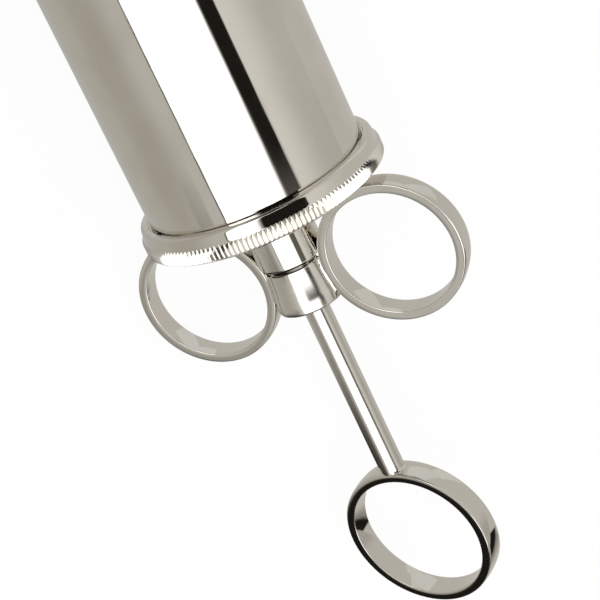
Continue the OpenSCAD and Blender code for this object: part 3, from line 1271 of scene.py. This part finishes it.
@dataclass
class Nozzle:
    """The knurled hub, the slim tube with the olive bead at its tip, and the screwed spigot."""

    shop: Workshop
    edge: float = 0.4 * MM
    hub: float = 6.5 * MM
    hub_len: float = 9 * MM
    hub_bore: float = 4.05 * MM
    taper: float = 6 * MM
    taper_start: float = 5.3 * MM
    taper_end: float = 2.8 * MM
    teeth: int = 44
    steps_a_tooth: int = 10
    knurl_depth: float = 0.45 * MM
    knurl_margin: float = 1 * MM
    knurl_run_out: float = 0.5 * MM
    groove_share: float = 0.7
    tube: float = 2.2 * MM
    bore: float = 1.3 * MM
    olive: float = 3.5 * MM
    olive_half: float = 3.8 * MM
    olive_mouth: float = 1.7 * MM
    spigot: float = 4 * MM
    spigot_bore: float = 1.75 * MM
    thread_pitch: float = 0.8 * MM
    thread_depth: float = 0.3 * MM
    thread_root: float = 3.6 * MM
    pipe_steps: int = 64
    steps: int = 96

    def grip(self) -> None:
        """Builds the knurled hub."""
        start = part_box("nozzle_hub")[0].x
        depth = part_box("nozzle_tube")[0].x - start
        end, edge = self.hub_len + self.taper, self.edge
        outline = Outline((0.0, self.hub_bore)).arc(edge, self.hub - edge, edge, -90, 0, steps=4)
        outline.line(self.hub_len - edge, self.hub, steps=18)
        outline.arc(self.hub_len - edge, self.hub - edge, edge, 0, 90, steps=4)
        outline.line(self.hub_len, self.taper_start).wave(end, self.taper_end, steps=14)
        outline.line(end, self.tube).line(depth, self.tube).line(depth, self.hub_bore)
        knurl = Grooves(
            start + self.knurl_margin,
            self.hub - self.knurl_depth,
            self.knurl_depth,
            end=start + self.hub_len - self.knurl_margin,
            count=self.teeth,
            width=self.groove_share,
            run_out=self.knurl_run_out,
        )
        hub = self.shop.turn("nozzle_grip", outline.placed(start), self.teeth * self.steps_a_tooth, knurl)
        self.shop.dress(hub, Coat.TURNED, Part.NOZZLE, Slot.NICKEL, "nozzle_hub")

    def pipe(self) -> None:
        """Builds the tube and the olive bead on its end."""
        low, high = (p.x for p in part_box("nozzle_tube"))
        outline = Outline((low, self.bore), (low, self.tube)).line(high, self.tube, steps=12)
        tube = self.shop.turn("nozzle_pipe", outline.line(high, self.bore).points, self.pipe_steps)
        self.shop.dress(tube, Coat.ROD, Part.NOZZLE, Slot.NICKEL, "nozzle_tube")
        seat, mouth = -math.acos(self.tube / self.olive), math.acos(self.olive_mouth / self.olive)
        outline = Outline((0.0, self.tube))
        ends = math.degrees(seat), math.degrees(mouth)
        outline.arc(0.0, 0.0, self.olive, *ends, steps=28, reach=self.olive_half)
        outline.line(self.olive_half * math.sin(mouth), self.bore).line(0.0, self.bore)
        olive = self.shop.turn("olive_tip", outline.placed(high), self.steps)
        self.shop.dress(olive, Coat.RING, Part.NOZZLE, Slot.NICKEL, "nozzle_bead")

    def screw(self) -> None:
        """Builds the screwed spigot."""
        low, high = (p.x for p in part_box("nozzle_spigot"))
        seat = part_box("nozzle_washer")[1].x
        outline = Outline((low, self.spigot_bore), (low, self.spigot)).line(seat, self.spigot, steps=2)
        outline.line(high - self.edge, self.spigot, steps=60).line(high, self.spigot - self.edge)
        thread = Grooves(seat, self.thread_root, self.thread_depth, pitch=self.thread_pitch)
        outline.line(high, self.spigot_bore)
        spigot = self.shop.turn("threaded_spigot", outline.points, self.steps, thread)
        self.shop.dress(spigot, Coat.ROD, Part.FRONT_CAP, Slot.NICKEL, "nozzle_spigot")

    def build(self) -> None:
        """Builds the pieces."""
        self.grip()
        self.pipe()
        self.screw()


@dataclass
class Washers:
    """The leather sealing washers, with slightly rounded edges."""

    shop: Workshop
    edge: float = 0.2 * MM
    cap_hole: float = 17.4 * MM
    nozzle_hole: float = 4.05 * MM
    steps: int = 128

    def washer(self, name: str, part: Part, inner: float) -> None:
        """Builds one washer.

        Args:
            name: Name of the piece.
            part: The body that it rides on, whose one solid it replaces.
            inner: Radius of its hole.
        """
        low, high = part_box(part.value)
        outer = (high.z - low.z) / 2
        edge = min(self.edge, (high.x - low.x) / 3)
        outline = Outline((low.x, inner)).arc(low.x + edge, outer - edge, edge, -90, 0, steps=4)
        outline.arc(high.x - edge, outer - edge, edge, 0, 90, steps=4).line(high.x, inner)
        piece = self.shop.turn(name, outline.points, self.steps)
        self.shop.dress(piece, Coat.LEATHER, part, Slot.LEATHER, part.value)

    def build(self) -> None:
        """Builds the washers."""
        self.washer("rear_cap_seal", Part.REAR_WASHER, self.cap_hole)
        self.washer("front_cap_seal", Part.FRONT_WASHER, self.cap_hole)
        self.washer("nozzle_seal", Part.NOZZLE_WASHER, self.nozzle_hole)


@dataclass(frozen=True)
class Card:
    """A screen or card of the light tent, as the metal mirrors it.

    Its edges are directions: the tilt from overhead towards +Y in degrees, and the share along +X.
    """

    name: str
    tilt: tuple[float, float]
    tilt_soft: tuple[float, float]
    along: tuple[float, float]
    along_soft: float
    colour: Colour
    share: float = 1.0

    def mask(self, tilt: Socket, along: Socket) -> Socket:
        """How much of the card a direction meets, from its tilt and its share along the syringe."""
        across = tilt.between(*self.tilt, *self.tilt_soft)
        return across * along.between(*self.along, self.along_soft) * self.share


@dataclass(frozen=True)
class Cloth:
    """A tone of the tent's cloth, from a tilt on."""

    tilt: float
    soft: float
    colour: Colour


ROOM = (0.0125, 0.011, 0.009)
PANE = (0.66, 0.66, 0.63)
SOFTBOX = (1.9, 1.9, 1.9)
DIM = (0.13, 0.12, 0.1)
RIGHT_CLOTH = (
    Cloth(-180.0, 0.0, (0.556, 0.539, 0.50)),
    Cloth(-48.0, 50.0, (0.74, 0.72, 0.675)),
)
LEFT_CLOTH = (
    Cloth(0.0, 10.0, (0.536, 0.525, 0.488)),
    Cloth(80.0, 30.0, (0.427, 0.405, 0.359)),
    Cloth(118.0, 24.0, (0.47, 0.454, 0.405)),
    Cloth(150.0, 40.0, (0.478, 0.478, 0.46)),
)
LIGHT_TENT = (
    Card("far_wall", (-126.0, -88.0), (30.0, 2.5), (-2.0, -0.62), 0.06, ROOM, 0.5),
    Card("low_wall", (-88.0, -45.0), (2.5, 30.0), (-2.0, -0.3), 0.3, ROOM, 0.22),
    Card("left_fold", (70.0, 86.0), (3.0, 6.0), (-2.0, -0.3), 0.06, ROOM, 0.3),
    Card("softbox_frame", (56.3, 58.1), (0.6, 0.6), (-2.0, 2.0), 0.1, ROOM, 0.75),
    Card("left_flag", (86.0, 172.0), (30.0, 14.0), (-0.66, -0.418), 0.05, ROOM),
    Card("rear_flag", (80.0, 180.0), (14.0, 9.0), (-0.66, -0.448), 0.03, ROOM),
    Card("rim_flag", (68.0, 100.0), (8.0, 4.0), (-0.66, -0.51), 0.04, ROOM),
    Card("rear_room", (-30.0, 160.0), (8.0, 8.0), (-0.95, -0.7), 0.08, ROOM),
    Card("rear_corner", (-60.0, -26.0), (6.0, 6.0), (-0.99, -0.84), 0.1, ROOM),
    Card("low_flag", (-109.0, -88.0), (10.0, 2.5), (-0.8, -0.565), 0.03, ROOM),
    Card("low_pane", (-122.0, -100.0), (1.5, 1.5), (0.22, 0.64), 0.03, PANE),
    Card("front_pane", (-150.0, -104.0), (3.0, 1.5), (0.64, 0.86), 0.03, PANE),
    Card("softbox", (-8.5, 56.5), (5.0, 0.8), (-0.67, 0.9), 0.06, SOFTBOX),
    Card("dim_card", (-25.5, -6.5), (3.0, 7.0), (-0.52, -0.3), 0.12, DIM),
    Card("dark_card", (-24.0, -8.5), (1.5, 4.0), (-0.33, -0.08), 0.08, ROOM),
    Card("camera_block", (-20.5, 26.5), (1.0, 9.0), (-0.12, 0.8), 0.04, ROOM),
    Card("front_room", (-50.0, 66.0), (10.0, 10.0), (0.84, 2.0), 0.04, ROOM),
)


@dataclass
class Studio:
    """The table, the soft light and the camera."""

    eye_from_rim: Place = (94.06, 62.63, 315.85)
    aim_from_rim: Place = (-24.66, 2.15, 22.62)
    roll: float = 125.25
    lens: float = 108.43
    sensor: float = 36.0
    clip_start: float = 10 * MM
    clip_end: float = 20.0
    table: float = 3.0
    table_tones: tuple[Colour, Colour] = ((0.80, 0.79, 0.77), (0.83, 0.82, 0.80))
    table_speck: Pattern = Pattern(2 * MM, 3.0)
    table_glow: float = 0.93
    fill_light: Colour = (0.85, 0.85, 0.85)
    lamp_place: Place = (0.0, 0.25, 0.9)
    lamp_width: float = 0.8
    lamp_depth: float = 0.5
    lamp_power: float = 4.0

    def camera(self) -> None:
        """Places the camera at the photograph's angle."""
        data = bpy.data.cameras.new("camera")
        data.lens = self.lens
        data.sensor_width = self.sensor
        data.clip_start = self.clip_start
        data.clip_end = self.clip_end
        camera = link_object("camera", data)
        rim = Vector((REAR_RIM, 0.0, 0.0))
        eye = rim + Vector(self.eye_from_rim) * MM
        aim = rim + Vector(self.aim_from_rim) * MM
        look = (aim - eye).to_track_quat("-Z", "Y").to_matrix().to_4x4()
        roll = Matrix.Rotation(math.radians(self.roll), 4, "Z")
        camera.matrix_world = Matrix.Translation(eye) @ look @ roll
        bpy.context.scene.camera = camera

    def floor(self) -> None:
        """Lays the pale table top, which the metal doesn't mirror."""
        mesh = bmesh.new()
        bmesh.ops.create_grid(mesh, x_segments=1, y_segments=1, size=self.table / 2)
        data = bpy.data.meshes.new("table_top")
        mesh.to_mesh(data)
        mesh.free()
        top = link_object("table_top", data)
        made, graph = new_material("table_white")
        tone = graph.mix(graph.noise(self.table_speck), *self.table_tones)
        plain = graph.node("ShaderNodeBsdfDiffuse", {}, {"Color": tone})
        white = graph.node("ShaderNodeEmission", {}, {"Color": WHITE, "Strength": 1.0})
        seen = graph.ray("Camera") * self.table_glow
        shown = graph.node("ShaderNodeMixShader", {}, {0: seen, 1: plain, 2: white})
        through = graph.node("ShaderNodeBsdfTransparent", {}, {})
        shown = graph.node("ShaderNodeMixShader", {}, {0: graph.ray("Glossy"), 1: shown, 2: through})
        graph.node("ShaderNodeOutputMaterial", {}, {"Surface": shown})
        data.materials.append(made)

    def surroundings(self) -> None:
        """Sets the world: white to the camera, the light tent in the mirror of the metal."""
        world = bpy.data.worlds.new("studio")
        bpy.context.scene.world = world
        world.use_nodes = True
        graph = Graph(world.node_tree, "Generated")
        along, side, up = graph.axes()
        tilt = side.angle_from(up) * math.degrees(1.0)
        sides = []
        for first, *rest in (RIGHT_CLOTH, LEFT_CLOTH):
            tone = first.colour
            for cloth in rest:
                tone = graph.mix(tilt.step(cloth.tilt, cloth.soft), tone, cloth.colour)
            sides.append(tone)
        tone = graph.mix(tilt.step(LEFT_CLOTH[0].tilt, LEFT_CLOTH[0].soft), *sides)
        for card in LIGHT_TENT:
            tone = graph.mix(card.mask(tilt, along), tone, card.colour, card.name)
        colour = graph.mix(graph.ray("Glossy"), self.fill_light, tone)
        colour = graph.mix(graph.ray("Camera"), colour, WHITE)
        back = graph.node("ShaderNodeBackground", {}, {"Color": colour, "Strength": 1.0})
        graph.node("ShaderNodeOutputWorld", {}, {"Surface": back})

    def lamp(self) -> None:
        """Hangs the soft overhead lamp."""
        data = bpy.data.lights.new("softbox", "AREA")
        data.shape = "RECTANGLE"
        data.size = self.lamp_width
        data.size_y = self.lamp_depth
        data.energy = self.lamp_power
        lamp = link_object("softbox", data)
        lamp.location = self.lamp_place
        lamp.rotation_euler = (Vector() - lamp.location).to_track_quat("-Z", "Y").to_euler()
        lamp.visible_glossy = False

    def build(self) -> None:
        """Builds the studio."""
        self.camera()
        self.floor()
        self.surroundings()
        self.lamp()
        bpy.context.scene.view_settings.view_transform = "Standard"


def finishes() -> dict[Coat, bpy.types.Material]:
    """Builds every finish.

    Returns:
        Materials by finish.
    """
    knurl_start, knurl_end, knurl_soft, knurl_dull = 2.3 * MM, 5.0 * MM, 0.2 * MM, 0.1
    boss_start, boss_end, boss_soft, boss_dull = 17.5 * MM, 40 * MM, 7 * MM, 0.14
    dulled = (
        Dulled(REAR_RIM - knurl_end, REAR_RIM - knurl_start, knurl_soft, knurl_dull),
        Dulled(FRONT_RIM + knurl_start, FRONT_RIM + knurl_end, knurl_soft, knurl_dull),
        Dulled(REAR_RIM - boss_end, REAR_RIM - boss_start, boss_soft, boss_dull),
    )
    looks = {
        Coat.DRAWN: PolishedPlate(scratch=scratches(14.0, 1.0, 1.0)),
        Coat.TURNED: PolishedPlate(wave=ripples(6 * MM, 0.004 * MM), dulled=dulled),
        Coat.RING: PolishedPlate(wave=ripples(7 * MM, 0.012 * MM)),
        Coat.ROD: PolishedPlate(wave=ripples(8 * MM, 0.004 * MM), roughness=0.15),
        Coat.SOLDER: BrazeMetal(),
        Coat.BRASS: TurnedMetal((0.78, 0.58, 0.27), (0.42, 0.27, 0.12)),
        Coat.LEATHER: OiledLeather(),
    }
    return {coat: look.material(coat.value) for coat, look in looks.items()}


def main() -> None:
    """Builds the syringe's looks and its studio."""
    logging.basicConfig(level=logging.INFO, format="%(message)s")
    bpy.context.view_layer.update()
    shop = Workshop(finishes())
    rear_cap = RearCap(shop)
    assemblies = [
        Barrel(shop),
        rear_cap,
        FingerRings(shop, rear_cap),
        Plunger(shop),
        Piston(shop),
        FrontCap(shop),
        Nozzle(shop),
        Washers(shop),
        Studio(),
    ]
    for assembly in assemblies:
        assembly.build()
        LOG.info("%s is built", type(assembly).__name__)


if __name__ == "__main__":
    main()
